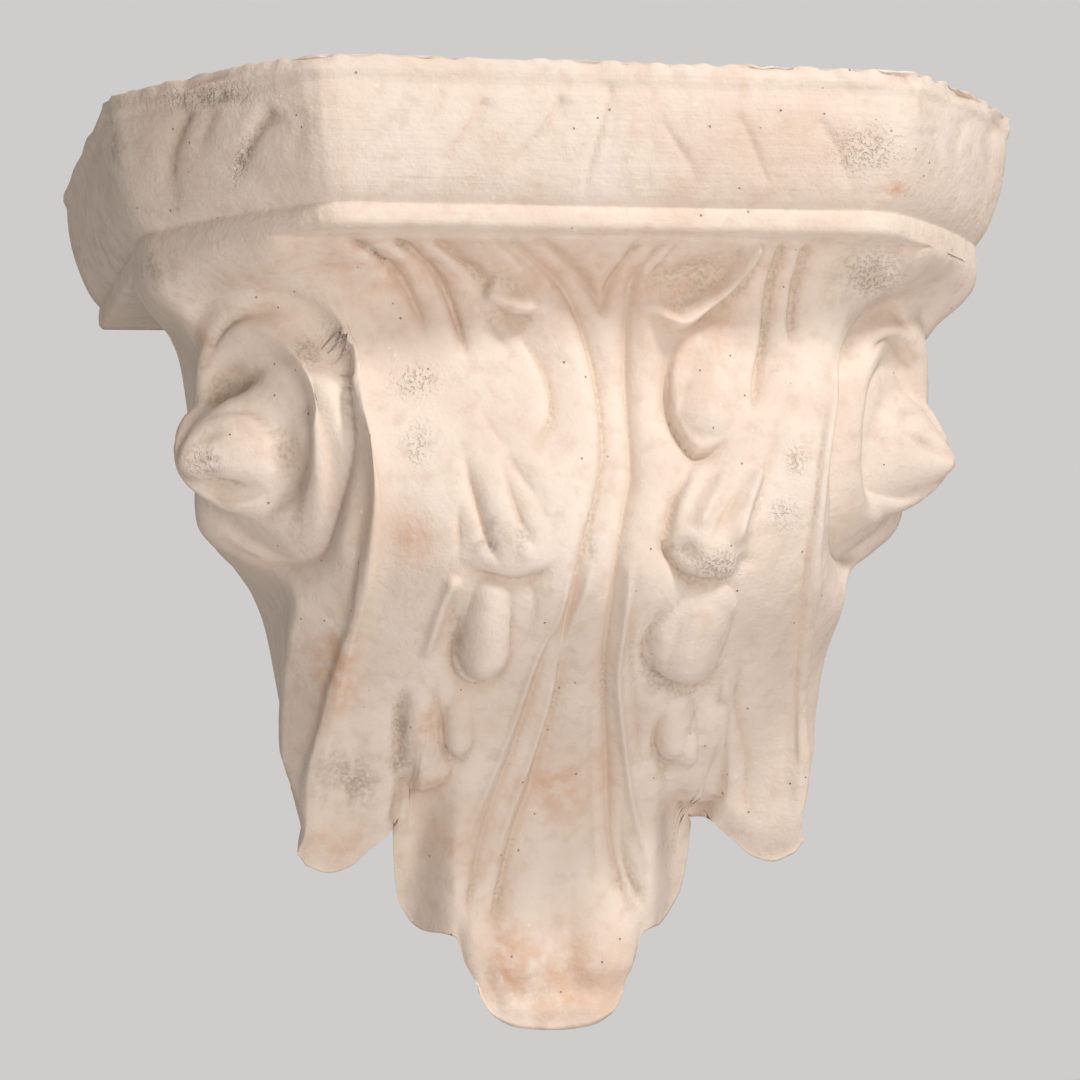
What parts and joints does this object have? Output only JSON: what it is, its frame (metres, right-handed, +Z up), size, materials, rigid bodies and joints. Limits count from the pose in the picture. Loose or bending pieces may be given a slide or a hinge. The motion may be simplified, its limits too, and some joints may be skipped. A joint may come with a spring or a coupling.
{
  "type": "wall bracket",
  "caption": "Cast plaster wall bracket: a canted moulded shelf carried by an acanthus leaf between scrolls with pointed eyes.",
  "frame": {"origin": "on the flat back that meets the wall, on the middle line, 0.100 m below the shelf's top", "axes": "+Y out of the flat back and into the wall, so the carved front faces -Y; +Z up out of the shelf's top; +X along the shelf, to the right as seen from the front"},
  "size_m": [0.3414, 0.231, 0.3367],
  "materials": {
    "plaster": "dull cast plaster"
  },
  "bodies": {
    "root": {"bracket": "plaster"}
  },
  "joints": []
}
